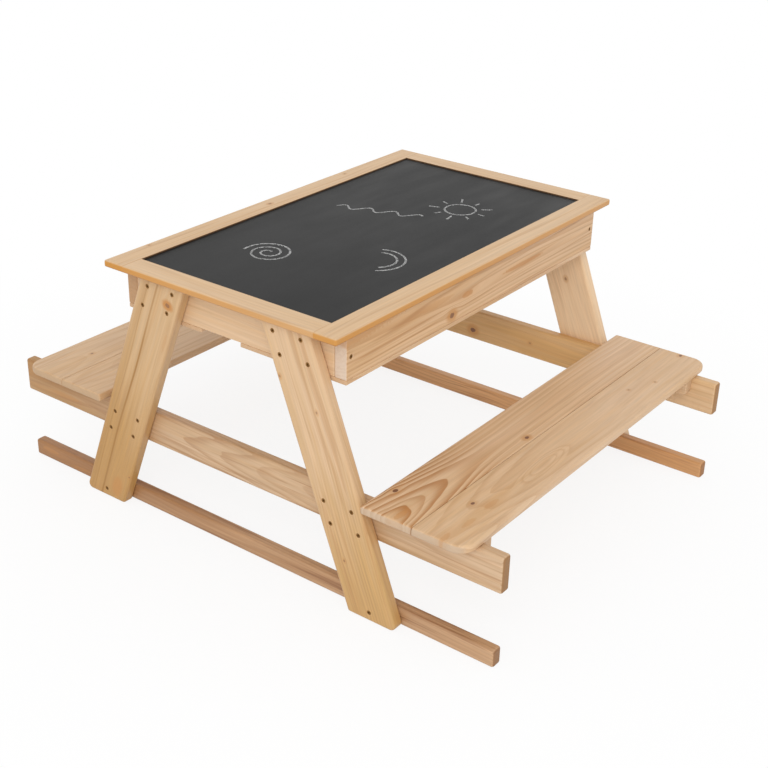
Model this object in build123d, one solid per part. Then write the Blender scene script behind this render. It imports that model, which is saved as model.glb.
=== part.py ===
from build123d import *
from math import cos, radians, tan
import os

# A child's picnic table in pine: two A-shaped ends carry a box under a lift-off chalkboard lid,
# and a bench on each side. Millimetres, +Z up, X across the benches, Y along them, and the
# origin on the floor under the middle. Left is -X, right is +X, near is -Y, far is +Y.

# The box under the lid
table_height = 500.0
box_width = 485.0
box_length = 776.0
box_depth = 77.0
box_board_thickness = 24.0
floor_board_thickness = 8.0
floor_left_width = 172.5
floor_strip_width = 89.0  # left open between the two floor boards

# The lid: a frame of four members round a tongued chalkboard panel, on two battens
lid_thickness = 12.0
lid_member_width = 45.0
lid_side_overhang = 11.5
lid_end_overhang = 41.0
lid_edge_radius = 3.0
lid_corner_radius = 4.0
panel_thickness = 9.0
panel_gap = 0.2  # panel to frame, all round
tongue_thickness = 4.0
tongue_depth = 8.0
dowel_diameter = 6.0
dowel_length = 30.0
batten_width = 40.0
batten_height = 18.0
batten_clearance = 2.0  # battens to the inside of the box

# The legs, set on the outer faces of the end boards, the bench rails and the foot bars
leg_width = 94.0
leg_thickness = 24.0
leg_tilt = 21.0  # degrees from upright
leg_top_inset = 110.0  # side of the box to the middle of a leg, at the top
leg_top_drop = 0.5  # leg tops stay this far below the lid
foot_corner_radius = 10.0
rail_height = 66.0
rail_thickness = 22.0
rail_overhang = 46.0  # rail ends beyond the benches
foot_bar_height = 33.0
foot_bar_thickness = 22.0
foot_bar_setback = 5.5  # foot bar ends inside the rail ends

# The benches: two boards each, on the rails, with a cleat under each end
seat_height = 224.0
seat_board_width = 100.5
seat_board_thickness = 15.0
seat_board_gap = 1.0
seat_leg_gap = 10.0  # inner edge of a bench to the legs
seat_end_overhang = 37.0  # bench ends beyond the rails
seat_corner_radius = 30.0
cleat_height = 30.0
cleat_thickness = 22.0
cleat_inset = 4.0  # cleat ends inside the bench edges
cleat_corner_radius = 8.0

# Screws with countersunk heads
screw_diameter = 4.0
screw_head_diameter = 8.0
screw_sink = 0.8  # heads below the wood
screw_tip_length = 4.0
recess_width = 1.2
recess_length = 4.6
recess_depth = 1.6
screw_tip_cover = 6.0  # wood left beyond the tips
panel_screw_cover = 3.0
floor_screw_bite = 14.0
box_corner_screw_bite = 30.0
box_board_screw_margin = 19.5  # top and bottom edge of a box board to the leg screws
rail_screw_margin = 14.0
leg_screw_margin = 20.0  # side of a leg to its screws
floor_screw_margin = 30.0  # inside of the box ends, and inner edge of a floor board, to its screws
batten_screw_margin = 40.0

# Finish of the boards, and the room around whatever is fitted in a hole or groove
round_ease = 5.0  # legs, rails and foot bars
seat_ease = 5.0
edge_ease = 2.0
fine_ease = 0.4
fit_clearance = 0.1

# Levels and half sizes that several pieces share
box_top = table_height - lid_thickness
box_bottom = box_top - box_depth
box_middle = (box_top + box_bottom) / 2
box_side = box_width / 2
box_end = box_length / 2
box_inner_side = box_side - box_board_thickness
box_inner_end = box_end - box_board_thickness
lid_side = box_side + lid_side_overhang
lid_end = box_end + lid_end_overhang
lid_opening_side = lid_side - lid_member_width
lid_opening_end = lid_end - lid_member_width
lid_middle = box_top + lid_thickness / 2
leg_outer_face = box_end + leg_thickness
leg_half_width = leg_width / 2 / cos(radians(leg_tilt))
rail_top = seat_height - seat_board_thickness
rail_bottom = rail_top - rail_height
rail_inner_face = box_end - rail_thickness
foot_bar_inner_face = box_end - foot_bar_thickness
floor_underside = box_bottom - floor_board_thickness
floor_inner_edges = {
    "left": box_side - floor_left_width,
    "right": floor_left_width + floor_strip_width - box_side,
}

sides = {"left": -1, "right": 1}
ends = {"near": -1, "far": 1}
pieces = {}


def leg_middle(height):
    """Distance from the middle of the table to the middle of a leg at a height."""
    return box_side - leg_top_inset + (box_top - height) * tan(radians(leg_tilt))


seat_inner_edge = leg_middle(rail_top) + leg_half_width + seat_leg_gap
seat_joint = seat_inner_edge + seat_board_width
seat_outer_edge = seat_joint + seat_board_gap + seat_board_width
seat_end = box_end + seat_end_overhang
rail_half_length = seat_outer_edge + rail_overhang
foot_bar_half_length = rail_half_length - foot_bar_setback


def span(sign, first, second):
    """Limits of a piece that lies between two distances on one side of the middle."""
    return tuple(sorted((sign * first, sign * second)))


def both(distance):
    """Limits of a piece that reaches the same distance on both sides of the middle."""
    return (-distance, distance)


def plain_board(x, y, z):
    """A square-edged board between its limits along each axis."""
    sizes = [high - low for low, high in (x, y, z)]
    middle = [(high + low) / 2 for low, high in (x, y, z)]
    return Pos(*middle) * Box(*sizes)


def board(x, y, z, ease=edge_ease):
    """A board with all its edges eased."""
    thinnest = min(high - low for low, high in (x, y, z))
    return fillet(plain_board(x, y, z).edges(), min(ease, thinnest / 4))


def lid_slab():
    """The outer form of the lid, with its corners and edges rounded."""
    slab = plain_board(both(lid_side), both(lid_end), (box_top, table_height))
    slab = fillet(slab.edges().filter_by(Axis.Z), lid_corner_radius)
    rims = slab.faces().filter_by(Axis.Z).edges()
    return fillet(rims, min(lid_edge_radius, lid_thickness / 4))


def meets_another(face):
    """Whether a face of a frame member lies against another member or the panel."""
    middle = face.center()
    off_side = abs(abs(middle.X) - lid_opening_side)
    off_end = abs(abs(middle.Y) - lid_opening_end)
    return min(off_side, off_end) < fine_ease


def lid_member(x, y):
    """The part of the lid within these limits, just eased where it meets its neighbours."""
    member = lid_slab() & plain_board(x, y, (box_top, table_height))
    return chamfer(member.faces().filter_by(meets_another).edges(), fine_ease)


# Lid frame: the long members run through, the short ones butt between them
for side, sign in sides.items():
    limits = span(sign, lid_opening_side, lid_side)
    pieces[f"lid_long_member_{side}"] = lid_member(limits, both(lid_end))
for end, sign in ends.items():
    limits = span(sign, lid_opening_end, lid_end)
    pieces[f"lid_short_member_{end}"] = lid_member(both(lid_opening_side), limits)

# Chalkboard panel: its tongue sits in a groove in the frame, and its face lies below the frame
tongue_bottom = box_top + (panel_thickness - tongue_thickness) / 2
tongue_top = tongue_bottom + tongue_thickness
panel_side = lid_opening_side - panel_gap
panel_end = lid_opening_end - panel_gap
panel_body = plain_board(both(panel_side), both(panel_end), (box_top, box_top + panel_thickness))
tongue_side = lid_opening_side + tongue_depth - panel_gap
tongue_end = lid_opening_end + tongue_depth - panel_gap
tongue = plain_board(both(tongue_side), both(tongue_end), (tongue_bottom, tongue_top))
pieces["chalkboard_panel"] = panel_body + tongue
groove_levels = (tongue_bottom - fit_clearance, tongue_top + fit_clearance)
groove = plain_board(both(tongue_side + panel_gap), both(tongue_end + panel_gap), groove_levels)

# Dowels across the four frame joints
dowels = []
for side in sides.values():
    for end in ends.values():
        joint_middle = (side * lid_opening_side, end * (lid_end - lid_member_width / 2), lid_middle)
        joint = Plane(joint_middle, z_dir=(1, 0, 0))
        dowels.append(joint * Cylinder(dowel_diameter / 2, dowel_length))
        hole_length = dowel_length + 2 * fit_clearance
        groove += joint * Cylinder(dowel_diameter / 2 + fit_clearance, hole_length)
pieces["lid_corner_dowels"] = Compound(children=dowels)
for node in [name for name in pieces if "_member_" in name]:
    pieces[node] -= groove

# Battens under the panel, which locate the lid in the box
batten_end = box_inner_end - batten_clearance
batten_side = box_inner_side - batten_clearance
for end, sign in ends.items():
    limits = span(sign, batten_end - batten_width, batten_end)
    pieces[f"lid_batten_{end}"] = board(both(batten_side), limits, (box_top - batten_height, box_top))

# Box: the long boards cover the ends of the end boards, and two boards make the floor
box_levels = (box_bottom, box_top)
floor_levels = (floor_underside, box_bottom)
for side, sign in sides.items():
    limits = span(sign, box_inner_side, box_side)
    pieces[f"box_long_board_{side}"] = board(limits, both(box_end), box_levels)
    limits = span(sign, floor_inner_edges[side], box_side)
    pieces[f"box_floor_board_{side}"] = board(limits, both(box_end), floor_levels)
for end, sign in ends.items():
    limits = span(sign, box_inner_end, box_end)
    pieces[f"box_end_board_{end}"] = board(both(box_inner_side), limits, box_levels)


def leg():
    """The near right leg: a leaning board cut level at the floor and under the lid."""
    top = box_top - leg_top_drop
    heel = (leg_middle(0) - leg_half_width, 0)
    toe = (leg_middle(0) + leg_half_width, 0)
    crown = [(leg_middle(top) + half, top) for half in (leg_half_width, -leg_half_width)]
    outline = make_face(Polyline(heel, toe, *crown, close=True))
    outline = fillet(outline.vertices().sort_by(Axis.X)[-1], foot_corner_radius)
    body = Pos(0, -box_end, 0) * extrude(Plane.XZ * outline, leg_thickness)
    return fillet(body.edges(), min(round_ease, leg_thickness / 4))


near_right_leg = leg()
near_left_leg = near_right_leg.mirror(Plane.YZ)
for side, near_leg in (("left", near_left_leg), ("right", near_right_leg)):
    pieces[f"leg_near_{side}"] = near_leg
    pieces[f"leg_far_{side}"] = near_leg.mirror(Plane.XZ)

# Bench rails and foot bars, on the inner faces of the legs
for end, sign in ends.items():
    limits = span(sign, rail_inner_face, box_end)
    levels = (rail_bottom, rail_top)
    pieces[f"bench_rail_{end}"] = board(both(rail_half_length), limits, levels, round_ease)
    limits = span(sign, foot_bar_inner_face, box_end)
    levels = (0, foot_bar_height)
    pieces[f"foot_bar_{end}"] = board(both(foot_bar_half_length), limits, levels, round_ease)


def bench():
    """Both boards of the right bench as one form, with its outer corners and its edges rounded."""
    width = seat_outer_edge - seat_inner_edge
    outline = Pos(seat_inner_edge + width / 2, 0) * Rectangle(width, 2 * seat_end)
    outline = fillet(outline.vertices().group_by(Axis.X)[-1], seat_corner_radius)
    body = Pos(0, 0, rail_top) * extrude(outline, seat_board_thickness)
    return fillet(body.edges(), min(seat_ease, seat_board_thickness / 3))


def seat_board(x, joint_face):
    """The part of the right bench within these limits, just eased along its joint."""
    part = bench() & plain_board(x, both(seat_end), (rail_top, seat_height))
    return chamfer(part.faces().sort_by(Axis.X)[joint_face].edges(), fine_ease)


def cleat(x, y):
    """A cleat under a bench end, with its two lower corners rounded."""
    body = plain_board(x, y, (rail_top - cleat_height, rail_top))
    body = fillet(body.edges().filter_by(Axis.Y).group_by(Axis.Z)[0], cleat_corner_radius)
    return fillet(body.edges(), min(edge_ease, cleat_thickness / 5))


# Benches: an inner and an outer board each, and a cleat against each rail
right_boards = {
    "inner": seat_board((seat_inner_edge, seat_joint), -1),
    "outer": seat_board((seat_joint + seat_board_gap, seat_outer_edge), 0),
}
for side, sign in sides.items():
    for place, right_board in right_boards.items():
        pieces[f"seat_board_{side}_{place}"] = right_board if sign > 0 else right_board.mirror(Plane.YZ)
    limits = span(sign, seat_inner_edge + cleat_inset, seat_outer_edge - cleat_inset)
    for end, end_sign in ends.items():
        depth = span(end_sign, rail_inner_face - cleat_thickness, rail_inner_face)
        pieces[f"seat_cleat_{side}_{end}"] = cleat(limits, depth)


def turned(*outline):
    """A solid turned about Z from an outline of radii and heights."""
    top = (0, outline[0][1])
    bottom = (0, outline[-1][1])
    return revolve(Plane.XZ * make_face(Polyline(top, *outline, bottom, close=True)), Axis.Z)


def screw(length):
    """A countersunk screw driven down Z, with the wood's surface at zero."""
    radius = screw_diameter / 2
    head_radius = screw_head_diameter / 2
    neck = -screw_sink - (head_radius - radius)
    body = turned((head_radius, -screw_sink), (radius, neck), (radius, screw_tip_length - length),
                  (radius / 4, -length))
    slot = Box(recess_width, recess_length, 2 * recess_depth)
    recess = slot + Rot(0, 0, 90) * slot
    return body - Pos(0, 0, -screw_sink) * recess


def screw_hole(length):
    """The countersunk hole of a screw, opened a little above the surface."""
    radius = screw_diameter / 2 + fit_clearance
    mouth = screw_head_diameter / 2 + screw_sink + fit_clearance
    neck = -(mouth - radius)
    return turned((mouth + 1, 1), (radius, neck), (radius, -length - fit_clearance))


def drive(group, length, places, boards):
    """Sets a group of equal screws, and opens their holes in the boards that they join."""
    pieces[group] = Compound(children=[place * screw(length) for place in places])
    holes = [place * screw_hole(length) for place in places]
    for node in boards:
        pieces[node] = pieces[node] - holes


def named(*starts):
    """The pieces whose names begin in one of these ways."""
    return [name for name in pieces if name.startswith(starts)]


leg_screw_offset = (leg_width / 2 - leg_screw_margin) / cos(radians(leg_tilt))
box_rows = (box_bottom + box_board_screw_margin, box_top - box_board_screw_margin)
rail_rows = (rail_bottom + rail_screw_margin, rail_top - rail_screw_margin)


def on_corners(place):
    """The four places of a screw, one in each quarter of the table."""
    return [place(side, end) for side in sides.values() for end in ends.values()]


def leg_screws(heights, offsets):
    """Places of screws on the outer faces of all four legs."""
    places = []
    for height in heights:
        for offset in offsets:
            x = leg_middle(height) + offset
            places += on_corners(
                lambda side, end: Plane((side * x, end * leg_outer_face, height), z_dir=(0, end, 0)))
    return places


def upward_screws(points, height):
    """Places of screws driven up from a level, mirrored to both sides of the table."""
    return [Plane((side * x, y, height), z_dir=(0, 0, -1)) for side in sides.values() for x, y in points]


# Leg screws: four into each end board, four into each rail and one into the foot bar
legs = named("leg_")
pair = both(leg_screw_offset)
top_length = leg_thickness + box_board_thickness - screw_tip_cover
drive("leg_top_screws", top_length, leg_screws(box_rows, pair), legs + named("box_end"))
rail_length = leg_thickness + rail_thickness - screw_tip_cover
drive("leg_rail_screws", rail_length, leg_screws(rail_rows, pair), legs + named("bench_rail"))
foot_length = leg_thickness + foot_bar_thickness - screw_tip_cover
foot_places = leg_screws([foot_bar_height / 2], [0])
drive("foot_bar_screws", foot_length, foot_places, legs + named("foot_bar"))

# Box corner screws, through the ends of the long boards into the end boards
end_board_line = box_end - box_board_thickness / 2
corner_places = on_corners(
    lambda side, end: Plane((side * box_side, end * end_board_line, box_middle), z_dir=(side, 0, 0)))
corner_length = box_board_thickness + box_corner_screw_bite
drive("box_corner_screws", corner_length, corner_places, named("box_long", "box_end"))

# Floor screws: each floor board has four into its long board and one into each end board
long_board_line = box_side - box_board_thickness / 2
floor_row_end = box_inner_end - floor_screw_margin
floor_points = [(long_board_line, floor_row_end * share) for share in (-1, -1 / 3, 1 / 3, 1)]
floor_places = upward_screws(floor_points, floor_underside)
for side, sign in sides.items():
    x = sign * (floor_inner_edges[side] + floor_screw_margin)
    for end in ends.values():
        floor_places.append(Plane((x, end * end_board_line, floor_underside), z_dir=(0, 0, -1)))
floor_length = floor_board_thickness + floor_screw_bite
drive("floor_board_screws", floor_length, floor_places, named("box_floor", "box_long", "box_end"))

# Bench screws: up through the cleats into the boards, and from the cleats into the rails
board_middles = (seat_inner_edge + seat_board_width / 2, seat_outer_edge - seat_board_width / 2)
cleat_face = rail_inner_face - cleat_thickness
cleat_middle = rail_inner_face - cleat_thickness / 2
seat_points = [(middle + shift, end * cleat_middle)
               for middle in board_middles for shift in both(seat_board_width / 4) for end in ends.values()]
seat_length = cleat_height + seat_board_thickness - screw_tip_cover
seat_places = upward_screws(seat_points, rail_top - cleat_height)
drive("seat_screws", seat_length, seat_places, named("seat_board", "seat_cleat"))
cleat_row = rail_top - cleat_height / 2
cleat_places = []
for middle in board_middles:
    cleat_places += on_corners(
        lambda side, end: Plane((side * middle, end * cleat_face, cleat_row), z_dir=(0, -end, 0)))
cleat_length = cleat_thickness + rail_thickness - screw_tip_cover
drive("cleat_screws", cleat_length, cleat_places, named("seat_cleat", "bench_rail"))

# Batten screws, up into the panel
batten_row = batten_side - batten_screw_margin
batten_points = [(batten_row, end * (batten_end - batten_width / 2)) for end in ends.values()]
batten_length = batten_height + panel_thickness - panel_screw_cover
batten_places = upward_screws(batten_points, box_top - batten_height)
drive("lid_batten_screws", batten_length, batten_places, named("lid_batten", "chalkboard"))

os.makedirs("parts", exist_ok=True)
for node, shape in pieces.items():
    export_step(shape, f"parts/{node}.step")
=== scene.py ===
"""A low picnic table for children in varnished pine, with a chalkboard lid over a shallow box."""
import math

import bmesh
import bpy
from mathutils import Matrix, Vector


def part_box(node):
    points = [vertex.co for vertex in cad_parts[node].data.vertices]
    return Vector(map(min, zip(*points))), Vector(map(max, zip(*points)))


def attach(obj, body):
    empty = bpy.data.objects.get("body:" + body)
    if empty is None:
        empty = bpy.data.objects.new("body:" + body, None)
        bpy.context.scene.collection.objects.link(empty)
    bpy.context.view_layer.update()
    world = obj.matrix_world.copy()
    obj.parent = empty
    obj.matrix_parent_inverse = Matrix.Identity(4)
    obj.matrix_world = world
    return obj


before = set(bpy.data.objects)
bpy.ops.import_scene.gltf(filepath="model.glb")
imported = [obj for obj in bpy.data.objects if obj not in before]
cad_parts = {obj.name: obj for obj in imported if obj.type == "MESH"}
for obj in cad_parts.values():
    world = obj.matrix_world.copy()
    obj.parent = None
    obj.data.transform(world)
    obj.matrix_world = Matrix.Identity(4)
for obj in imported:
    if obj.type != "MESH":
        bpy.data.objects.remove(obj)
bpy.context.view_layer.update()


# Legs
# Four planed pine boards that lean inwards, screwed to the outside of the box ends, the
# bench rails and the foot bars. Their arrises are eased and they have a clear satin varnish.

def feed(tree, socket, value):
    """Sets a socket to a plain value or colour, or links it to another node's output."""
    if isinstance(value, bpy.types.NodeSocket):
        tree.links.new(value, socket)
    elif socket.type == "RGBA":
        socket.default_value = (*value, 1)
    else:
        socket.default_value = value


def set_inputs(tree, node, values):
    """Feeds several of a node's sockets by name."""
    for title, value in values.items():
        feed(tree, node.inputs[title], value)


def maths(tree, operation, *values, clamp=False):
    """A sum on plain values."""
    made = tree.nodes.new("ShaderNodeMath")
    made.operation = operation
    made.use_clamp = clamp
    for socket, value in zip(made.inputs, values):
        feed(tree, socket, value)
    return made.outputs[0]


def vector_maths(tree, operation, *vectors):
    """A sum on vectors. It gives a value for a length or a dot product, and else a vector."""
    made = tree.nodes.new("ShaderNodeVectorMath")
    made.operation = operation
    for socket, vector in zip(made.inputs, vectors):
        feed(tree, socket, vector)
    return made.outputs["Value" if operation in ("LENGTH", "DOT_PRODUCT") else "Vector"]


def parts_of(tree, vector):
    """A vector's X, Y and Z."""
    made = tree.nodes.new("ShaderNodeSeparateXYZ")
    tree.links.new(vector, made.inputs[0])
    return made.outputs


def joined(tree, x, y, z):
    """One vector from three values."""
    made = tree.nodes.new("ShaderNodeCombineXYZ")
    for socket, value in zip(made.inputs, (x, y, z)):
        feed(tree, socket, value)
    return made.outputs[0]


def distance(tree, x, y):
    """How far a place on a plane is from the plane's middle."""
    return vector_maths(tree, "LENGTH", joined(tree, x, y, 0))


def line_noise(tree, place):
    """Smooth noise along one line, from 0 to 1."""
    made = tree.nodes.new("ShaderNodeTexNoise")
    made.noise_dimensions = "1D"
    set_inputs(tree, made, {"W": place, "Scale": 1.0, "Detail": 1.0})
    return made.outputs[0]


def cloud_noise(tree, vector, cells, seed, detail=2.0):
    """Smooth noise in space, from 0 to 1, with its own number of cells to a metre on each axis."""
    made = tree.nodes.new("ShaderNodeTexNoise")
    made.noise_dimensions = "4D"
    stretched = vector_maths(tree, "MULTIPLY", vector, cells)
    set_inputs(tree, made, {"Vector": stretched, "W": seed, "Scale": 1.0, "Detail": detail})
    return made.outputs[0]


def ranged(tree, value, low, high, to_low=0.0, to_high=1.0, smooth=True):
    """A value from low to high, eased or straight, as one from to_low to to_high."""
    made = tree.nodes.new("ShaderNodeMapRange")
    made.interpolation_type = "SMOOTHSTEP" if smooth else "LINEAR"
    set_inputs(tree, made, {"Value": value, "From Min": low, "From Max": high,
                            "To Min": to_low, "To Max": to_high})
    return made.outputs[0]


def signed(tree, noise, reach=1.0):
    """Noise from 0 to 1, as one that goes as far below 0 as above it."""
    return ranged(tree, noise, 0, 1, -reach, reach, smooth=False)


def spread(tree, noise, least, most):
    """Noise as a value from least to most. It seldom leaves the middle of its range, which is drawn out."""
    return ranged(tree, noise, 0.2, 0.8, least, most, smooth=False)


def mixed(tree, share, first, second, blend="MIX"):
    """Two colours mixed. A Mix node's sockets for colours come after those for values and vectors."""
    made = tree.nodes.new("ShaderNodeMix")
    made.data_type = "RGBA"
    made.blend_type = blend
    factor, colour_a, colour_b, result = 0, 6, 7, 2
    feed(tree, made.inputs[factor], share)
    feed(tree, made.inputs[colour_a], first)
    feed(tree, made.inputs[colour_b], second)
    return made.outputs[result]


def new_group(title, inputs, outputs):
    """An empty shader node group, with the names of its sockets listed by their kind."""
    group = bpy.data.node_groups.new(title, "ShaderNodeTree")
    for in_out, kinds in (("INPUT", inputs), ("OUTPUT", outputs)):
        for kind, names in kinds.items():
            for name in names:
                group.interface.new_socket(name, in_out=in_out, socket_type="NodeSocket" + kind)
    given = group.nodes.new("NodeGroupInput").outputs
    return group, given, group.nodes.new("NodeGroupOutput").inputs


def placed(tree, group, **values):
    """A node group placed in a material with its own values."""
    made = tree.nodes.new("ShaderNodeGroup")
    made.node_tree = group
    for name, value in values.items():
        feed(tree, made.inputs[name.replace("_", " ").title()], value)
    return made.outputs


# A knot's fades and its ragged edge are counted in its own half sizes.
KNOT_CELLS = (260, 260, 40)
KNOT_RAGGED = 0.35
CORE_FADE = (1.1, 0.75)
RIM_FADE = (3.2, 1.4)
SWIRL_ALONG = 0.30
SWIRL_ACROSS = 0.40
SWIRL_FADE = (1.6, 0.0)
SWIRL_PULL = 0.85


def make_knot_group():
    """A small branch, or a patch of amber wood: the grain bends round it, and it has a warm rim."""
    group, given, out = new_group(
        "pine_knot",
        dict(Vector=("Vector", "Centre"),
             Float=("Knot", "Halo", "Half Length", "Half Width", "Dark", "Fill", "Glow")),
        dict(Vector=("Vector",), Float=("Knot", "Halo")))
    x, y, z = parts_of(group, given["Vector"])
    centre_x, centre_y, _ = parts_of(group, given["Centre"])
    across = maths(group, "SUBTRACT", y, centre_y)
    along_share = maths(group, "DIVIDE", maths(group, "SUBTRACT", x, centre_x), given["Half Length"])
    across_share = maths(group, "DIVIDE", across, given["Half Width"])
    ragged = signed(group, cloud_noise(group, given["Vector"], KNOT_CELLS, seed=3.0), KNOT_RAGGED)
    reach = maths(group, "ADD", distance(group, along_share, across_share), ragged)
    core = ranged(group, reach, *CORE_FADE)
    rim = maths(group, "MULTIPLY", ranged(group, reach, *RIM_FADE), given["Glow"])
    rim = maths(group, "MAXIMUM", rim, maths(group, "MULTIPLY", core, given["Fill"]))
    core = maths(group, "MULTIPLY", core, given["Dark"])
    swirl = distance(group, maths(group, "MULTIPLY", along_share, SWIRL_ALONG),
                     maths(group, "MULTIPLY", across_share, SWIRL_ACROSS))
    pull = ranged(group, swirl, *SWIRL_FADE, 0.0, SWIRL_PULL)
    bent = maths(group, "SUBTRACT", y, maths(group, "MULTIPLY", across, pull))
    group.links.new(joined(group, x, bent, z), out["Vector"])
    group.links.new(maths(group, "MAXIMUM", given["Knot"], core), out["Knot"])
    group.links.new(maths(group, "MAXIMUM", given["Halo"], rim), out["Halo"])
    return group


RESIN_CELLS = (5, 60, 60)
RESIN_BREAKS = (0.25, 0.65)
RESIN_LEAST = 0.60
RESIN_WAVES = 3.0
RESIN_DRIFT = 0.006


def make_streak_group():
    """One dark resin line that runs the length of a board."""
    group, given, out = new_group(
        "pine_streak",
        dict(Vector=("Vector",), Float=("Streak", "Across", "Half Width", "Strength")),
        dict(Float=("Streak",)))
    x, y, _ = parts_of(group, given["Vector"])
    along = maths(group, "ADD", maths(group, "MULTIPLY", x, RESIN_WAVES), given["Across"])
    drift = signed(group, line_noise(group, along), RESIN_DRIFT)
    gap = maths(group, "SUBTRACT", maths(group, "ADD", y, drift), given["Across"])
    share = maths(group, "DIVIDE", maths(group, "ABSOLUTE", gap), given["Half Width"])
    line = ranged(group, share, 1.0, 0.0)
    broken = cloud_noise(group, given["Vector"], RESIN_CELLS, seed=8.0)
    broken = ranged(group, broken, *RESIN_BREAKS, RESIN_LEAST, 1.0)
    line = maths(group, "MULTIPLY", maths(group, "MULTIPLY", line, broken), given["Strength"])
    group.links.new(maths(group, "MAXIMUM", given["Streak"], line), out["Streak"])
    return group


# Lengths are in metres, waves and cells are counted in a metre, and a year's parts in its own width.
SWAY_WAVES = 1.7
TAPER_BEND = 0.08
CALM_REACH = 0.10
RIPPLE_CELLS = (5, 34, 34)
YEAR_WAVES = 0.45
YEAR_UNEVEN = 0.9
LATE_FULL = 0.92
LATE_ENDS = (1.0, 0.95)
WEAK_YEAR = 0.45
PATCH_CELLS = (2.4, 15, 15)
PATCH_FADE = (0.3, 0.7)
PATCH_SHARE = 0.6
BAND_CELLS = (2.6, 95, 95)
BAND_FADE = (0.38, 0.68)
BAND_SHARE = 0.55
LINE_CELLS = (2.0, 150, 150)
LINE_FADE = (0.52, 0.66)
FIBRE_CELLS = (7, 240, 240)
FIBRE_SHADE = (0.90, 1.08)
HAIR_CELLS = (22, 1100, 1100)
HAIR_SHADE = (-0.03, 0.03)
SHADE_FADE = (0.25, 0.75)
END_FACING = (0.50, 0.85)
END_CALM = 0.75
END_ROUGHER = 0.2
SATIN = (0.42, 0.54)
LATE_RELIEF = 0.6
FIBRE_RELIEF = 0.5
KNOT_RELIEF = 0.7
RESIN = (0.345, 0.160, 0.026)
KNOT_RIM = (0.52, 0.230, 0.055)
KNOT_HEART = (0.19, 0.078, 0.036)


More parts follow.
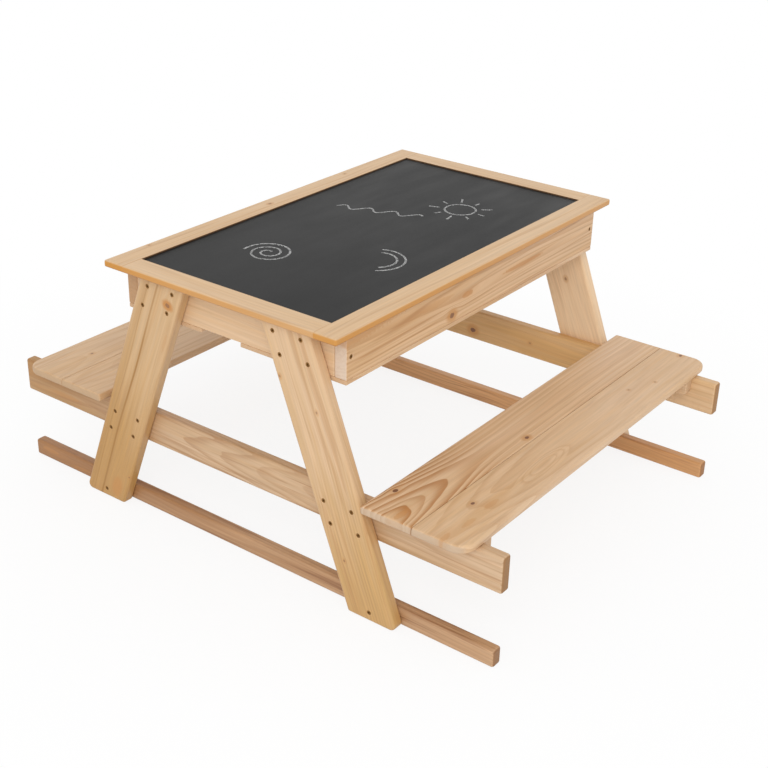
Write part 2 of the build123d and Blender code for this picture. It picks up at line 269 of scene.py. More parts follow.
def make_pine_group():
    """Sawn pine: yearly rings about a pith line beside or under the board, fibre and end grain."""
    group, given, out = new_group(
        "pine_board",
        dict(Vector=("Vector", "Facing"),
             Color=("Pale", "Late", "Amber", "End Tint"),
             Float=("Knot", "Halo", "Streak", "Pith Across", "Pith Depth", "Ring Width", "Tight", "Taper",
                    "Taper End", "Calm", "Wander", "Ripple", "Eye Along", "Eye Across", "Eye Length",
                    "Eye Width", "Eye Swell", "Late Start", "Contrast", "Lines", "Tone", "Warm", "Warm From",
                    "Warm To", "Seed")),
        dict(Color=("Color",), Float=("Roughness", "Height")))
    seed = given["Seed"]

    # The rings lie about the pith line, which wanders. They taper along the board and go round an eye.
    x, y, z = parts_of(group, given["Vector"])
    slow = maths(group, "MULTIPLY", x, SWAY_WAVES)
    sway_y = signed(group, line_noise(group, maths(group, "ADD", slow, seed)))
    sway_z = signed(group, line_noise(group, maths(group, "SUBTRACT", slow, seed)))
    y = maths(group, "MULTIPLY_ADD", sway_y, given["Wander"], y)
    z = maths(group, "MULTIPLY_ADD", sway_z, given["Wander"], z)
    grain = joined(group, x, y, z)
    pith_y = maths(group, "SUBTRACT", y, given["Pith Across"])
    pith_z = maths(group, "SUBTRACT", z, given["Pith Depth"])
    radius = distance(group, pith_y, pith_z)
    denser = maths(group, "MULTIPLY_ADD", radius, given["Tight"], 1.0)
    radius = maths(group, "MULTIPLY", radius, denser)
    past_end = maths(group, "SUBTRACT", x, given["Taper End"])
    run = maths(group, "SMOOTH_MIN", past_end, 0.0, TAPER_BEND)
    radius = maths(group, "SUBTRACT", radius, maths(group, "MULTIPLY", run, given["Taper"]))
    ripple = signed(group, cloud_noise(group, given["Vector"], RIPPLE_CELLS, seed))
    radius = maths(group, "MULTIPLY_ADD", ripple, given["Ripple"], radius)
    eye_x = maths(group, "DIVIDE", maths(group, "SUBTRACT", x, given["Eye Along"]), given["Eye Length"])
    eye_y = maths(group, "DIVIDE", maths(group, "SUBTRACT", y, given["Eye Across"]), given["Eye Width"])
    swell = ranged(group, distance(group, eye_x, eye_y), 1.0, 0.0, 0.0, given["Eye Swell"])
    radius = maths(group, "ADD", radius, swell)

    # Each year darkens slowly to its late wood and ends at once, some years more than others.
    ring = maths(group, "DIVIDE", radius, given["Ring Width"])
    uneven = line_noise(group, maths(group, "MULTIPLY_ADD", ring, YEAR_WAVES, seed))
    ring = maths(group, "MULTIPLY_ADD", uneven, YEAR_UNEVEN, ring)
    share = maths(group, "FRACT", ring)
    rise = ranged(group, share, given["Late Start"], LATE_FULL)
    fall = ranged(group, share, *LATE_ENDS)
    year = group.nodes.new("ShaderNodeTexWhiteNoise")
    year.noise_dimensions = "1D"
    group.links.new(maths(group, "ADD", maths(group, "FLOOR", ring), seed), year.inputs["W"])
    strength = ranged(group, year.outputs["Value"], 0, 1, WEAK_YEAR, 1.0, smooth=False)
    late = maths(group, "MULTIPLY", maths(group, "MULTIPLY", rise, fall), strength)
    past = ranged(group, past_end, -CALM_REACH, CALM_REACH)
    kept = maths(group, "SUBTRACT", 1.0, maths(group, "MULTIPLY", past, given["Calm"]))
    late = maths(group, "MULTIPLY", late, kept)

    # Pale wood has amber patches and bands, dark late wood and lines, and fine fibre.
    patch = ranged(group, cloud_noise(group, given["Vector"], PATCH_CELLS, seed), *PATCH_FADE)
    bands = ranged(group, cloud_noise(group, grain, BAND_CELLS, seed, detail=3.0), *BAND_FADE)
    patch = maths(group, "MULTIPLY_ADD", bands, BAND_SHARE, maths(group, "MULTIPLY", patch, PATCH_SHARE))
    patch = maths(group, "MULTIPLY", patch, given["Tone"])
    warm = ranged(group, x, given["Warm From"], given["Warm To"])
    patch = maths(group, "MULTIPLY_ADD", warm, given["Warm"], patch, clamp=True)
    lines = ranged(group, cloud_noise(group, grain, LINE_CELLS, seed, detail=4.0), *LINE_FADE)
    fibre = cloud_noise(group, grain, FIBRE_CELLS, seed, detail=3.0)
    hair = cloud_noise(group, given["Vector"], HAIR_CELLS, seed, detail=1.0)
    colour = mixed(group, patch, given["Pale"], given["Amber"])
    colour = mixed(group, maths(group, "MULTIPLY", late, given["Contrast"]), colour, given["Late"])
    colour = mixed(group, maths(group, "MULTIPLY", lines, given["Lines"]), colour, given["Late"])
    shade = maths(group, "ADD", ranged(group, fibre, *SHADE_FADE, *FIBRE_SHADE, smooth=False),
                  ranged(group, hair, *SHADE_FADE, *HAIR_SHADE, smooth=False))
    colour = mixed(group, 1.0, colour, joined(group, shade, shade, shade), "MULTIPLY")
    colour = mixed(group, given["Streak"], colour, RESIN)

    # A sawn end shows less of the figure, takes the board's own tint and is rougher.
    end = ranged(group, maths(group, "ABSOLUTE", parts_of(group, given["Facing"])[0]), *END_FACING)
    cut = mixed(group, END_CALM, colour, given["Pale"])
    colour = mixed(group, end, colour, mixed(group, 1.0, cut, given["End Tint"], "MULTIPLY"))
    colour = mixed(group, given["Halo"], colour, KNOT_RIM)
    colour = mixed(group, given["Knot"], colour, KNOT_HEART)
    group.links.new(colour, out["Color"])
    satin = spread(group, fibre, *SATIN)
    group.links.new(maths(group, "MULTIPLY_ADD", end, END_ROUGHER, satin), out["Roughness"])
    height = maths(group, "MULTIPLY_ADD", late, LATE_RELIEF, maths(group, "MULTIPLY", fibre, FIBRE_RELIEF))
    group.links.new(maths(group, "MULTIPLY_ADD", given["Knot"], KNOT_RELIEF, height), out["Height"])
    return group


pine_knot = make_knot_group()
pine_streak = make_streak_group()
pine_board = make_pine_group()


def new_finish(title):
    """A new material, with its node tree, its shader and the coordinates of the piece it is on."""
    material = bpy.data.materials.new(title)
    material.use_nodes = True
    tree = material.node_tree
    return material, tree, tree.nodes["Principled BSDF"], tree.nodes.new("ShaderNodeTexCoord").outputs


def bumps(tree, height, strength, depth):
    """Fine relief, as a normal."""
    made = tree.nodes.new("ShaderNodeBump")
    set_inputs(tree, made, {"Height": height, "Strength": strength, "Distance": depth})
    return made.outputs[0]


def dress(node, material):
    """Gives a CAD node one material in place of its plain one."""
    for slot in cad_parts[node].material_slots:
        slot.material = material


def knot(place, half_length, half_width, dark, glow):
    """A branch at a place on the table: how dark it is, and how orange the wood round it."""
    return place, dict(half_length=half_length, half_width=half_width, dark=dark, fill=0.0, glow=glow)


def amber_patch(place, half_length, half_width, fill, glow):
    """Orange wood at a place on the table: how orange it is inside, and round it."""
    return place, dict(half_length=half_length, half_width=half_width, dark=0.0, fill=fill, glow=glow)


GRAIN_DEPTH = 0.0005
PLAIN_PINE = dict(
    pale=(0.700, 0.485, 0.300), amber=(0.615, 0.365, 0.150), late=(0.450, 0.215, 0.072),
    end_tint=(0.86, 0.82, 0.78), pith_across=0.05, pith_depth=-0.04, ring_width=0.004, tight=0.0,
    taper=0.02, taper_end=2.0, calm=0.0, wander=0.010, ripple=0.002,
    eye_along=0.0, eye_across=0.0, eye_length=1.0, eye_width=1.0, eye_swell=0.0,
    late_start=0.35, contrast=0.2, lines=0.35, tone=0.5, warm=0.0, warm_from=0.0, warm_to=1.0)


def pine(board, along, face, marks=(), resin=(), **looks):
    """Varnished pine for one board. Its own frame has X along the grain and Z out of its face.

    looks is what differs from PLAIN_PINE. The pith is the tree's middle, across and out from the
    board's middle. calm takes late wood away past the taper's end, and warm turns the board amber
    from one place along it to another. An eye is a swelling that the rings go round in ovals.
    """
    low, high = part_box(board)
    middle = (low + high) / 2
    axis = Vector(along).normalized()
    out = Vector(face).normalized()
    turn = Matrix((axis, out.cross(axis), out)).transposed()
    material, tree, shader, coords = new_finish("pine_" + board)

    def in_board(source, origin):
        mapping = tree.nodes.new("ShaderNodeMapping")
        mapping.vector_type = "TEXTURE"
        set_inputs(tree, mapping, {"Vector": coords[source], "Location": origin, "Rotation": turn.to_euler()})
        return mapping.outputs[0]

    vector = in_board("Object", middle)
    facing = in_board("Normal", (0, 0, 0))
    streak = 0.0
    for line in resin:
        streak = placed(tree, pine_streak, vector=vector, streak=streak, **line)["Streak"]
    dark = halo = 0.0
    for place, mark in marks:
        centre = turn.transposed() @ (Vector(place) - middle)
        bent = placed(tree, pine_knot, vector=vector, knot=dark, halo=halo, centre=centre, **mark)
        vector, dark, halo = bent["Vector"], bent["Knot"], bent["Halo"]
    wood = placed(tree, pine_board, vector=vector, facing=facing, knot=dark, halo=halo, streak=streak,
                  **{**PLAIN_PINE, **looks})
    set_inputs(tree, shader, {"Base Color": wood["Color"], "Roughness": wood["Roughness"],
                              "Normal": bumps(tree, wood["Height"], 0.25, GRAIN_DEPTH),
                              "Coat Weight": 0.10, "Coat Roughness": 0.30})
    dress(board, material)
    return material


LEAN = math.radians(21)
NEAR_LEG_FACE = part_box("leg_near_left")[0].y
FAR_LEG_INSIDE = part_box("leg_far_right")[0].y
legs = {
    "leg_near_left": dict(
        seed=4.0, pith_across=-0.09, pith_depth=-0.05, ring_width=0.0060, contrast=0.10, lines=0.20,
        tone=0.45, wander=0.014, warm=0.95, warm_from=0.18, warm_to=-0.22,
        pale=(0.655, 0.445, 0.250), amber=(0.505, 0.280, 0.088),
        marks=[knot((-0.122, NEAR_LEG_FACE, 0.446), 0.0042, 0.0052, dark=0.65, glow=1.00),
               amber_patch((-0.135, NEAR_LEG_FACE, 0.372), 0.0220, 0.0035, fill=0.30, glow=0.10),
               amber_patch((-0.284, NEAR_LEG_FACE, 0.031), 0.0100, 0.0055, fill=0.15, glow=0.60),
               knot((-0.249, NEAR_LEG_FACE, 0.064), 0.0022, 0.0018, dark=0.5, glow=0.30)],
        resin=[dict(across=0.0090, half_width=0.0040, strength=1.00),
               dict(across=0.0095, half_width=0.0110, strength=0.22),
               dict(across=0.0290, half_width=0.0026, strength=0.50),
               dict(across=0.0360, half_width=0.0090, strength=0.25)]),
    "leg_near_right": dict(
        seed=9.0, pith_across=0.10, pith_depth=-0.06, ring_width=0.0050, contrast=0.50, lines=0.40, tone=0.50,
        taper_end=0.0, calm=0.8, wander=0.014, ripple=0.003, warm=0.75, warm_from=0.05, warm_to=-0.24,
        amber=(0.57, 0.345, 0.130),
        marks=[knot((0.126, NEAR_LEG_FACE, 0.393), 0.0028, 0.0020, dark=0.5, glow=0.4),
               knot((0.202, NEAR_LEG_FACE, 0.352), 0.0028, 0.0020, dark=0.5, glow=0.3),
               knot((0.261, NEAR_LEG_FACE, 0.097), 0.0026, 0.0020, dark=0.6, glow=0.3),
               knot((0.181, NEAR_LEG_FACE, 0.206), 0.0024, 0.0020, dark=0.4, glow=0.3)]),
    "leg_far_left": dict(
        seed=14.0, pith_across=-0.08, pith_depth=-0.05, ring_width=0.0060, contrast=0.25, lines=0.4),
    "leg_far_right": dict(
        seed=19.0, pith_across=0.09, pith_depth=0.06, ring_width=0.0060, contrast=0.12, lines=0.15, tone=0.25,
        pale=(0.84, 0.620, 0.400),
        marks=[knot((0.193, FAR_LEG_INSIDE, 0.328), 0.0036, 0.0026, dark=0.6, glow=0.4)]),
}
for name, looks in legs.items():
    side = 1 if name.endswith("right") else -1
    outward = -1 if "near" in name else 1
    pine(name, (-side * math.sin(LEAN), 0, math.cos(LEAN)), (0, outward, 0), **looks)


# Bench rails and foot bars
# Planed pine battens across both ends, inside the legs. The rails carry the benches, and the
# redder foot bars lie on the floor. Their sawn ends took up more varnish and are darker.

RAIL_END = (0.500, 0.362, 0.205)
BAR_END = (0.505, 0.400, 0.295)
NEAR_RAIL_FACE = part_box("bench_rail_near")[0].y
FAR_RAIL_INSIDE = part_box("bench_rail_far")[0].y
rails = {
    "bench_rail_near": dict(
        seed=23.0, end_tint=RAIL_END, pith_across=0.006, pith_depth=-0.034, ring_width=0.0060, taper=0.035,
        contrast=0.50, lines=0.60, wander=0.012, ripple=0.004, warm=0.7, warm_from=-0.20, warm_to=-0.50,
        pale=(0.648, 0.450, 0.282), amber=(0.42, 0.222, 0.070), late=(0.36, 0.165, 0.055),
        marks=[amber_patch((-0.505, NEAR_RAIL_FACE, 0.187), 0.0350, 0.0050, fill=0.55, glow=0.12),
               amber_patch((-0.440, NEAR_RAIL_FACE, 0.163), 0.0450, 0.0050, fill=0.45, glow=0.10)]),
    "bench_rail_far": dict(
        seed=28.0, end_tint=RAIL_END, pith_across=-0.05, pith_depth=0.04, ring_width=0.0070, contrast=0.20,
        lines=0.30, warm=0.6, warm_from=0.45, warm_to=0.25,
        pale=(0.71, 0.490, 0.295), amber=(0.63, 0.370, 0.140),
        marks=[knot((-0.007, FAR_RAIL_INSIDE, 0.164), 0.0066, 0.0054, dark=1.0, glow=0.7),
               knot((0.135, FAR_RAIL_INSIDE, 0.175), 0.0028, 0.0020, dark=0.5, glow=0.4),
               knot((-0.004, FAR_RAIL_INSIDE, 0.207), 0.0028, 0.0020, dark=0.6, glow=0.4)]),
    "foot_bar_near": dict(
        seed=33.0, end_tint=BAR_END, pith_across=0.03, pith_depth=-0.02, ring_width=0.0060, contrast=0.35,
        lines=0.70, tone=0.6, warm=0.70, warm_from=0.20, warm_to=-0.45,
        pale=(0.600, 0.375, 0.210), amber=(0.360, 0.170, 0.060), late=(0.240, 0.095, 0.030),
        marks=[amber_patch((-0.500, NEAR_RAIL_FACE, 0.021), 0.0260, 0.0050, fill=0.45, glow=0.12),
               amber_patch((-0.412, NEAR_RAIL_FACE, 0.012), 0.0300, 0.0040, fill=0.40, glow=0.10)]),
    # The far bar's paler colour is painted light against the table's shade over it, and its amber towards the
    # right end, under the bench, is painted shade.
    "foot_bar_far": dict(
        seed=38.0, end_tint=BAR_END, pith_across=-0.03, pith_depth=0.02, ring_width=0.0060, contrast=0.25,
        lines=0.55, tone=0.5, warm=0.5, warm_from=0.20, warm_to=0.45,
        pale=(0.730, 0.415, 0.195), amber=(0.54, 0.265, 0.095), late=(0.32, 0.130, 0.040)),
}
for name, looks in rails.items():
    outward = -1 if name.endswith("near") else 1
    pine(name, (1, 0, 0), (0, outward, 0), **looks)


# Box under the lid
# Two long boards lap over the ends of two short ones and are screwed through, with two thin
# floor boards below. The long boards are flat sawn and show arched figure on their faces.

BARE_END = (0.96, 1.13, 1.49)
# The left long board's darker end tint is painted shade for its end under the lid.
AMBER_END_PAINTED_SHADE = (0.72, 0.62, 0.52)
BOX_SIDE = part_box("box_long_board_right")[1].x
box_boards = {
    "box_long_board_right": dict(
        along=(0, 1, 0), face=(1, 0, 0), seed=43.0, end_tint=BARE_END, pith_across=0.07, pith_depth=-0.03,
        ring_width=0.0080, taper=0.03, contrast=0.55, lines=0.70, wander=0.012, tone=0.5,
        pale=(0.715, 0.485, 0.290),
        marks=[knot((BOX_SIDE, -0.098, 0.4255), 0.0070, 0.0050, dark=0.85, glow=0.7),
               amber_patch((BOX_SIDE, 0.128, 0.4530), 0.0740, 0.0044, fill=0.75, glow=0.10),
               amber_patch((BOX_SIDE, -0.053, 0.4515), 0.0180, 0.0040, fill=0.75, glow=0.15),
               amber_patch((BOX_SIDE, -0.145, 0.4620), 0.0560, 0.0070, fill=0.35, glow=0.10),
               amber_patch((BOX_SIDE, -0.400, 0.4900), 0.2000, 0.0240, fill=0.50, glow=0.05)]),
    "box_long_board_left": dict(
        along=(0, 1, 0), face=(-1, 0, 0), seed=48.0, end_tint=AMBER_END_PAINTED_SHADE, pith_across=-0.07, pith_depth=-0.03,
        ring_width=0.0080, taper=0.03, contrast=0.55, lines=0.65, wander=0.012, tone=0.5,
        marks=[amber_patch((-BOX_SIDE, 0.060, 0.4480), 0.0600, 0.0040, fill=0.50, glow=0.10),
               knot((-BOX_SIDE, -0.210, 0.4390), 0.0060, 0.0045, dark=0.7, glow=0.6)]),
    "box_end_board_near": dict(
        along=(1, 0, 0), face=(0, -1, 0), seed=53.0, pith_across=0.07, pith_depth=-0.05, ring_width=0.0090,
        contrast=0.10, lines=0.15, tone=0.40),
    "box_end_board_far": dict(
        along=(1, 0, 0), face=(0, 1, 0), seed=58.0, pith_across=-0.06, pith_depth=-0.05, ring_width=0.0090,
        contrast=0.15, lines=0.25),
    "box_floor_board_left": dict(
        along=(0, 1, 0), face=(0, 0, 1), seed=63.0, pith_across=0.01, pith_depth=-0.06, ring_width=0.0090,
        taper=0.04, contrast=0.40, lines=0.3),
    "box_floor_board_right": dict(
        along=(0, 1, 0), face=(0, 0, 1), seed=68.0, pith_across=-0.02, pith_depth=-0.07, ring_width=0.0090,
        taper=-0.04, contrast=0.40, lines=0.3),
}
for name, looks in box_boards.items():
    pine(name, **looks)


# Benches
# Each bench is two boards side by side on the rails, with a small gap between them, and cross
# cleats under their ends. Boards and cleats are screwed from below, so no head shows on top.

SEAT_END = (0.79, 0.83, 0.91)
SHADED_END = (0.80, 0.79, 0.78)
SHADED_PALE = (0.650, 0.445, 0.268)
SEAT_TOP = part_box("seat_board_right_inner")[1].z
benches = {
    "seat_board_right_inner": dict(
        seed=73.0, end_tint=SEAT_END, pith_across=-0.008, pith_depth=0.001, ring_width=0.0260, tight=20.0,
        taper=-0.40, taper_end=-0.199, calm=0.72, wander=0.006, ripple=0.0080, late_start=0.15, contrast=1.00,
        lines=0.20, tone=0.40, pale=(0.735, 0.515, 0.322), late=(0.425, 0.170, 0.040),
        marks=[knot((0.3165, -0.351, SEAT_TOP), 0.0066, 0.0040, dark=1.00, glow=0.30),
               knot((0.388, -0.065, SEAT_TOP), 0.0056, 0.0036, dark=1.00, glow=0.60),
               amber_patch((0.366, -0.404, SEAT_TOP), 0.0170, 0.0070, fill=0.55, glow=0.15)]),
    "seat_board_right_outer": dict(
        seed=78.0, end_tint=SEAT_END, pith_across=0.01, pith_depth=-0.06, ring_width=0.0100, taper=0.05,
        taper_end=0.0, calm=0.70, contrast=0.36, lines=0.16, wander=0.016, ripple=0.006, tone=0.45,
        eye_along=-0.125, eye_across=-0.006, eye_length=0.105, eye_width=0.021, eye_swell=0.030,
        marks=[knot((0.435, -0.3045, SEAT_TOP), 0.0044, 0.0031, dark=1.00, glow=0.25),
               knot((0.448, 0.414, SEAT_TOP), 0.0044, 0.0032, dark=1.0, glow=0.4),
               knot((0.462, 0.276, SEAT_TOP), 0.0025, 0.0020, dark=0.5, glow=0.4),
               knot((0.439, 0.214, SEAT_TOP), 0.0025, 0.0020, dark=0.5, glow=0.4),
               amber_patch((0.459, -0.288, SEAT_TOP), 0.0220, 0.0060, fill=0.42, glow=0.14),
               amber_patch((0.461, -0.356, SEAT_TOP), 0.0200, 0.0040, fill=0.38, glow=0.10),
               amber_patch((0.457, -0.413, SEAT_TOP), 0.0160, 0.0050, fill=0.42, glow=0.10)]),
    "seat_board_left_inner": dict(
        seed=83.0, end_tint=SHADED_END, pale=SHADED_PALE, pith_across=0.02, pith_depth=-0.07,
        ring_width=0.0080, taper=0.05, contrast=0.25),
    "seat_board_left_outer": dict(
        seed=88.0, end_tint=SHADED_END, pale=SHADED_PALE, pith_across=-0.01, pith_depth=-0.06,
        ring_width=0.0080, taper=-0.05, contrast=0.25,
        marks=[knot((-0.442, -0.313, SEAT_TOP), 0.0036, 0.0026, dark=0.7, glow=0.3)]),
}
for name, looks in benches.items():
    pine(name, (0, 1, 0), (0, 0, 1), **looks)

cleat_seeds = {"left_near": 91.0, "left_far": 94.0, "right_near": 97.0, "right_far": 99.0}
for corner, seed in cleat_seeds.items():
    pine("seat_cleat_" + corner, (1, 0, 0), (0, 0, -1), seed=seed, pith_across=0.02, pith_depth=-0.03,
         ring_width=0.0050)


# Lid frame and battens
# Four thin pine members, butted and dowelled at the corners and rounded on the outside, where
# the upright edges are amber, with painted shade along the lower arris. Two battens under the
# panel drop inside the box.

EDGE_AMBER = (0.575, 0.255, 0.040)
# The darker amber for the lower arris, which faces down, is painted shade.
EDGE_PAINTED_SHADE = (0.455, 0.190, 0.045)
EDGE_INNER_DARK = (0.110, 0.055, 0.025)
# How far a face turns up or down, and towards the lid's middle, where one look fades into the next.
LOWER_ARRIS = (0.1, -0.5)
UPPER_ARRIS = (0.90, 0.20)
UNDERSIDE = (-0.97, -0.90)
INNER_EDGE = (0.0, -0.10)


def amber_edges(material, board, along, stain):
    """Colours the upright edges of a lid member amber, with painted shade along the lower arris.

    stain is how amber the edge is at the member's low and high end. The edge beside the panel
    is dark.
    """
    tree = material.node_tree
    base = tree.nodes["Principled BSDF"].inputs["Base Color"]
    wood = base.links[0].from_socket
    coords = tree.nodes.new("ShaderNodeTexCoord").outputs
    low, high = (corner.dot(Vector(along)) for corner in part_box(board))
    run = vector_maths(tree, "DOT_PRODUCT", coords["Object"], along)
    share = ranged(tree, run, low, high, *stain, smooth=False)
    tilt = parts_of(tree, coords["Normal"])[2]
    # The lower arris takes the darker amber as painted shade.
    edge = mixed(tree, ranged(tree, tilt, *LOWER_ARRIS), EDGE_AMBER, EDGE_PAINTED_SHADE)
    flat = vector_maths(tree, "MULTIPLY", coords["Object"], (1, 1, 0))
    inward = ranged(tree, vector_maths(tree, "DOT_PRODUCT", flat, coords["Normal"]), *INNER_EDGE)
    upright = maths(tree, "MULTIPLY", ranged(tree, tilt, *UPPER_ARRIS), ranged(tree, tilt, *UNDERSIDE))
    colour = mixed(tree, maths(tree, "MULTIPLY", upright, share), wood, edge)
    colour = mixed(tree, maths(tree, "MULTIPLY", upright, inward), colour, EDGE_INNER_DARK)
    tree.links.new(colour, base)


LID_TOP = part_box("lid_long_member_left")[1].z
edge_stains = {
    "lid_long_member_left": (1.0, 0.80),
    "lid_long_member_right": (0.95, 0.72),
    "lid_short_member_near": (1.0, 0.58),
    "lid_short_member_far": (0.80, 0.60),
}
lid_members = {
    "lid_long_member_left": dict(
        along=(0, 1, 0), seed=103.0, pith_across=0.05, pith_depth=-0.04,
        marks=[knot((-0.232, -0.027, LID_TOP), 0.0040, 0.0028, dark=0.7, glow=0.5),
               knot((-0.239, 0.211, LID_TOP), 0.0030, 0.0020, dark=0.6, glow=0.4),
               knot((-0.246, -0.330, LID_TOP), 0.0030, 0.0020, dark=0.6, glow=0.4)]),
    "lid_long_member_right": dict(along=(0, 1, 0), seed=108.0, pith_across=-0.06, pith_depth=-0.03),
    "lid_short_member_near": dict(along=(1, 0, 0), seed=113.0, pith_across=-0.05, pith_depth=-0.03),
    "lid_short_member_far": dict(along=(1, 0, 0), seed=118.0, pith_across=0.05, pith_depth=-0.03),
}
for name, looks in lid_members.items():
    wood = pine(name, face=(0, 0, 1), ring_width=0.0070, contrast=0.12, lines=0.34, tone=0.45,
                pale=(0.700, 0.480, 0.280), **looks)
    amber_edges(wood, name, looks["along"], edge_stains[name])
for end, seed in (("near", 121.0), ("far", 124.0)):
    pine("lid_batten_" + end, (1, 0, 0), (0, 0, -1), seed=seed, pith_across=0.03, pith_depth=-0.03,
         ring_width=0.0050)


# Chalkboard panel
# A thin board in black chalkboard paint, held in a groove round the frame and a little below
# its face. Wiped chalk leaves a grey haze, patchy and brushed one way, which grows towards the
# far end as a painted sheen.

PAINT_BLACK = (0.0010, 0.0010, 0.0008)
CHALK_HAZE_AND_SHEEN = (0.046, 0.045, 0.044)
HAZE_CELLS = (5, 3, 5)
HAZE_FADE = (0.42, 0.75)
WIPE_CELLS = (30, 6, 30)
WIPE_FADE = (0.35, 0.8)
WIPE_SHARE = 0.5
GRIT_CELLS = (900, 900, 900)
GRIT_DEPTH = 0.0002
SHEEN_ENDS = (-0.35, 0.30)
SHEEN_SHARES = (0.30, 1.35)
PAINT_ROUGH = (0.36, 0.52)

chalkboard, tree, shader, coords = new_finish("chalkboard_paint")
place = coords["Object"]
haze = ranged(tree, cloud_noise(tree, place, HAZE_CELLS, seed=2.0, detail=4.0), *HAZE_FADE)
wipes = ranged(tree, cloud_noise(tree, place, WIPE_CELLS, seed=5.0, detail=4.0), *WIPE_FADE)
grit = cloud_noise(tree, place, GRIT_CELLS, seed=7.0)
dust_and_sheen = maths(tree, "MULTIPLY", maths(tree, "MULTIPLY_ADD", wipes, WIPE_SHARE, haze), grit)
# The haze grows towards the far end: a painted sheen.
painted_sheen = ranged(tree, parts_of(tree, place)[1], *SHEEN_ENDS, *SHEEN_SHARES)
dust_and_sheen = maths(tree, "MULTIPLY", dust_and_sheen, painted_sheen)
set_inputs(tree, shader, {"Base Color": mixed(tree, dust_and_sheen, PAINT_BLACK, CHALK_HAZE_AND_SHEEN),
                          "Roughness": spread(tree, grit, *PAINT_ROUGH),
                          "Normal": bumps(tree, grit, 0.2, GRIT_DEPTH), "Specular IOR Level": 0.16})
dress("chalkboard_panel", chalkboard)


# Chalk drawing
# A few loose chalk strokes on the panel: a sun, a snail shell, a wave and a double arch. The
# chalk is a thin broken film on the paint.

CHALK_GREY = (0.40, 0.40, 0.40)
CHALK_WHITE = (0.72, 0.72, 0.71)
POWDER_CELLS = (420, 420, 420)
CHALK_BREAKS = (0.36, 0.62)
CHALK_COVER = (0.12, 0.95)

chalk, tree, shader, coords = new_finish("chalk")
powder = cloud_noise(tree, coords["Object"], POWDER_CELLS, seed=1.0, detail=3.0)
set_inputs(tree, shader, {"Base Color": mixed(tree, powder, CHALK_GREY, CHALK_WHITE),
                          "Alpha": ranged(tree, powder, *CHALK_BREAKS, *CHALK_COVER),
                          "Roughness": 0.9, "Specular IOR Level": 0.1})

PANEL_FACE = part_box("chalkboard_panel")[1].z
CHALK_WIDTH = 0.0042
CHALK_FILM = 0.0002
SUN = (0.060, 0.190)
SUN_RADIUS = 0.030
SUN_RAYS = 9
RAY_START = 0.041
RAY_TIPS = (0.055, 0.062)
SHELL = (-0.070, -0.215)
WAVE_START = (-0.135, 0.055)
WAVE_STEPS = 28
WAVE_STEP = 0.006
WAVE_HEIGHT = 0.011
WAVE_TURN = 0.8
WAVE_RISE = 0.002
ARCH = (0.095, -0.120)


def around(middle, reach, angle):
    """The place at a distance from a middle, in a direction in degrees."""
    turned = math.radians(angle)
    return middle[0] + reach * math.cos(turned), middle[1] + reach * math.sin(turned)


def arc(middle, start_radius, end_radius, start, sweep, steps):
    """Places round a circle, an arc or a spiral."""
    made = []
    for step in range(steps + 1):
        share = step / steps
        made.append(around(middle, start_radius + (end_radius - start_radius) * share, start + sweep * share))
    return made


strokes = [arc(SUN, SUN_RADIUS, SUN_RADIUS, start=20, sweep=350, steps=24)]
for ray in range(SUN_RAYS):
    angle = 360 / SUN_RAYS * ray
    strokes.append([around(SUN, reach, angle) for reach in (RAY_START, RAY_TIPS[ray % 2])])
strokes.append(arc(SHELL, 0.006, 0.046, start=60, sweep=860, steps=48))
wave = []
for step in range(WAVE_STEPS):
    swing = WAVE_HEIGHT * math.sin(step * WAVE_TURN)
    wave.append((WAVE_START[0] + WAVE_STEP * step, WAVE_START[1] + swing + WAVE_RISE * step))
strokes.append(wave)
strokes.append(arc(ARCH, 0.052, 0.050, start=-55, sweep=170, steps=16))
strokes.append(arc(ARCH, 0.037, 0.035, start=-48, sweep=160, steps=14))

line = bpy.data.curves.new("chalk_line", "CURVE")
line.dimensions = "3D"
line.bevel_depth = CHALK_WIDTH / 2
line.bevel_resolution = 1
line.use_fill_caps = True
line.resolution_u = 3
for stroke in strokes:
    spline = line.splines.new("NURBS")
    spline.points.add(len(stroke) - 1)
    for point, (x, y) in zip(spline.points, stroke):
        point.co = (x, y, 0, 1)
    spline.order_u = 3
    spline.use_endpoint_u = True
holder = bpy.data.objects.new("chalk_line", line)
drawing_mesh = bpy.data.meshes.new_from_object(holder)
drawing_mesh.name = "chalk_drawing"
bpy.data.objects.remove(holder)
bpy.data.curves.remove(line)
bm = bmesh.new()
bm.from_mesh(drawing_mesh)
bmesh.ops.scale(bm, vec=(1, 1, CHALK_FILM / (CHALK_WIDTH / 2)), verts=bm.verts)
bmesh.ops.translate(bm, vec=(0, 0, PANEL_FACE), verts=bm.verts)
bm.to_mesh(drawing_mesh)
bm.free()
drawing_mesh.materials.clear()
drawing_mesh.materials.append(chalk)
drawing = bpy.data.objects.new("chalk_drawing", drawing_mesh)
bpy.context.scene.collection.objects.link(drawing)
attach(drawing, "lid")


# Screws and dowels
# Countersunk wood screws with a cross recess, zinc plated. Their metal is a dark brown, as
# painted shade of the sunk heads. The lid's corner joints have plain beech dowels that do not show.

# Both zinc colours are dark brown as painted shade of the sunk heads.
ZINC_SHADE_DARK = (0.135, 0.058, 0.016)
ZINC_SHADE_LIGHT = (0.42, 0.230, 0.078)
ZINC_CELLS = (300, 300, 300)
ZINC_ROUGH = (0.30, 0.48)

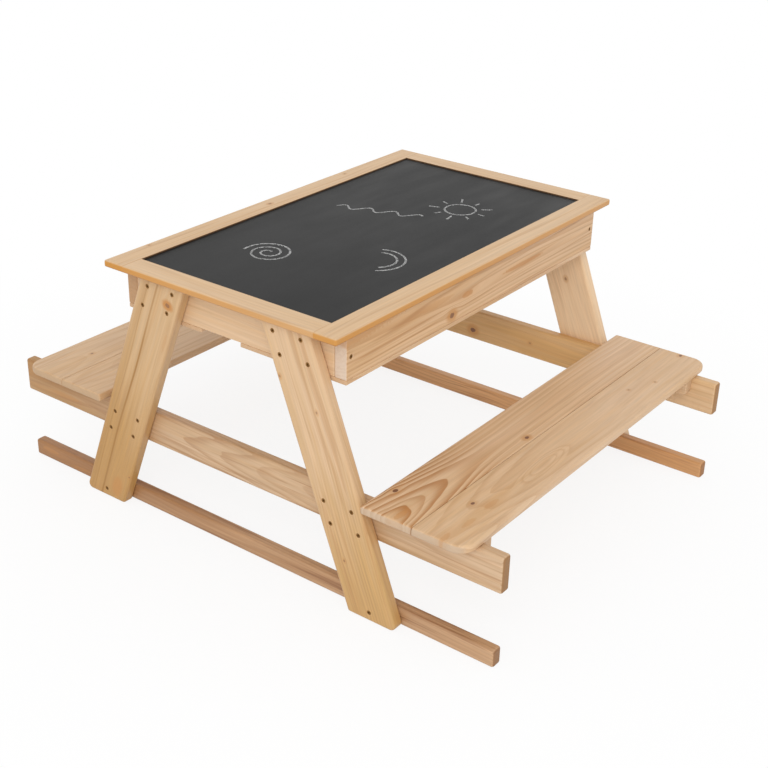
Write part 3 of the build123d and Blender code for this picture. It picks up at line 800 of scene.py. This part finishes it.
zinc, tree, shader, coords = new_finish("zinc_screw")
tarnish = cloud_noise(tree, coords["Object"], ZINC_CELLS, seed=1.0, detail=3.0)
set_inputs(tree, shader, {"Base Color": mixed(tree, tarnish, ZINC_SHADE_DARK, ZINC_SHADE_LIGHT),
                          "Roughness": spread(tree, tarnish, *ZINC_ROUGH), "Metallic": 1.0})
for name in ("leg_top_screws", "leg_rail_screws", "foot_bar_screws", "box_corner_screws",
             "floor_board_screws", "seat_screws", "cleat_screws", "lid_batten_screws"):
    dress(name, zinc)

BEECH_DARK = (0.42, 0.25, 0.13)
BEECH_LIGHT = (0.56, 0.36, 0.20)
FLECK_CELLS = (60, 900, 900)
BEECH_ROUGH = (0.55, 0.70)

beech, tree, shader, coords = new_finish("beech_dowel")
fleck = cloud_noise(tree, coords["Object"], FLECK_CELLS, seed=1.0, detail=3.0)
set_inputs(tree, shader, {"Base Color": mixed(tree, fleck, BEECH_DARK, BEECH_LIGHT),
                          "Roughness": spread(tree, fleck, *BEECH_ROUGH)})
dress("lid_corner_dowels", beech)


# Studio
# A wide white floor and soft light: an even white sky and a broad lamp high in front on the
# right. The camera stands where the photograph was taken.

SKY_LIGHT = 0.80
FLOOR_SIDE = 30.0
FLOOR_DROP = 0.0005
FLOOR_WHITE = (0.95, 0.95, 0.95)
FLOOR_LIFT = 0.85
SHADOW_NEAR = 0.45
SHADOW_FAR = 1.40

scene = bpy.context.scene
scene.view_settings.view_transform = "Standard"


def seen_straight(tree):
    """1 for what the camera sees directly, in gloss or through glass."""
    path = tree.nodes.new("ShaderNodeLightPath").outputs
    seen = maths(tree, "MAXIMUM", path["Is Camera Ray"], path["Is Glossy Ray"])
    return maths(tree, "MAXIMUM", seen, path["Is Transmission Ray"])


world = bpy.data.worlds.new("white_studio")
scene.world = world
world.use_nodes = True
tree = world.node_tree
brightness = ranged(tree, seen_straight(tree), 0, 1, SKY_LIGHT, 1.0, smooth=False)
set_inputs(tree, tree.nodes["Background"], {"Color": (1, 1, 1), "Strength": brightness})

floor_paint, tree, shader, coords = new_finish("floor_white")
set_inputs(tree, shader, {"Base Color": FLOOR_WHITE, "Roughness": 1.0, "Specular IOR Level": 0.0})
glow = tree.nodes.new("ShaderNodeEmission")
blend = tree.nodes.new("ShaderNodeMixShader")
away = vector_maths(tree, "LENGTH", coords["Object"])
lift = ranged(tree, away, SHADOW_NEAR, SHADOW_FAR, FLOOR_LIFT, 1.0)
tree.links.new(maths(tree, "MULTIPLY", seen_straight(tree), lift), blend.inputs[0])
tree.links.new(shader.outputs[0], blend.inputs[1])
tree.links.new(glow.outputs[0], blend.inputs[2])
tree.links.new(blend.outputs[0], tree.nodes["Material Output"].inputs["Surface"])
bm = bmesh.new()
bmesh.ops.create_grid(bm, x_segments=1, y_segments=1, size=FLOOR_SIDE / 2)
bmesh.ops.translate(bm, vec=(0, 0, -FLOOR_DROP), verts=bm.verts)
floor_mesh = bpy.data.meshes.new("studio_floor")
bm.to_mesh(floor_mesh)
bm.free()
floor_mesh.materials.append(floor_paint)
floor = bpy.data.objects.new("studio_floor", floor_mesh)
scene.collection.objects.link(floor)

LAMP_PLACE = Vector((3.0, -4.6, 4.0))
LAMP_AIM = Vector((0, 0, 0.25))
LAMP_SIDE = 3.6
LAMP_WATTS = 152
light = bpy.data.lights.new("lamp_front_right", "AREA")
light.shape = "SQUARE"
light.size = LAMP_SIDE
light.energy = LAMP_WATTS
lamp = bpy.data.objects.new("lamp_front_right", light)
lamp.location = LAMP_PLACE
lamp.rotation_euler = (LAMP_AIM - LAMP_PLACE).to_track_quat("-Z", "Y").to_euler()
scene.collection.objects.link(lamp)

TARGET = Vector((0.0346, -0.00689, 0.19224))
DISTANCE = 2.5628
AZIMUTH = math.radians(36.382)
ELEVATION = math.radians(26.701)
ROLL = math.radians(1.45)
LENS = 62.63
SENSOR = 36.0
SIGHT_END = 100.0
view = bpy.data.cameras.new("photo_view")
view.lens = LENS
view.sensor_width = SENSOR
view.clip_end = SIGHT_END
camera = bpy.data.objects.new("photo_view", view)
aim = Matrix.Rotation(AZIMUTH, 4, "Z") @ Matrix.Rotation(math.pi / 2 - ELEVATION, 4, "X")
aim = aim @ Matrix.Rotation(ROLL, 4, "Z")
camera.matrix_world = Matrix.Translation(TARGET + aim.to_3x3() @ Vector((0, 0, DISTANCE))) @ aim
scene.collection.objects.link(camera)
scene.camera = camera
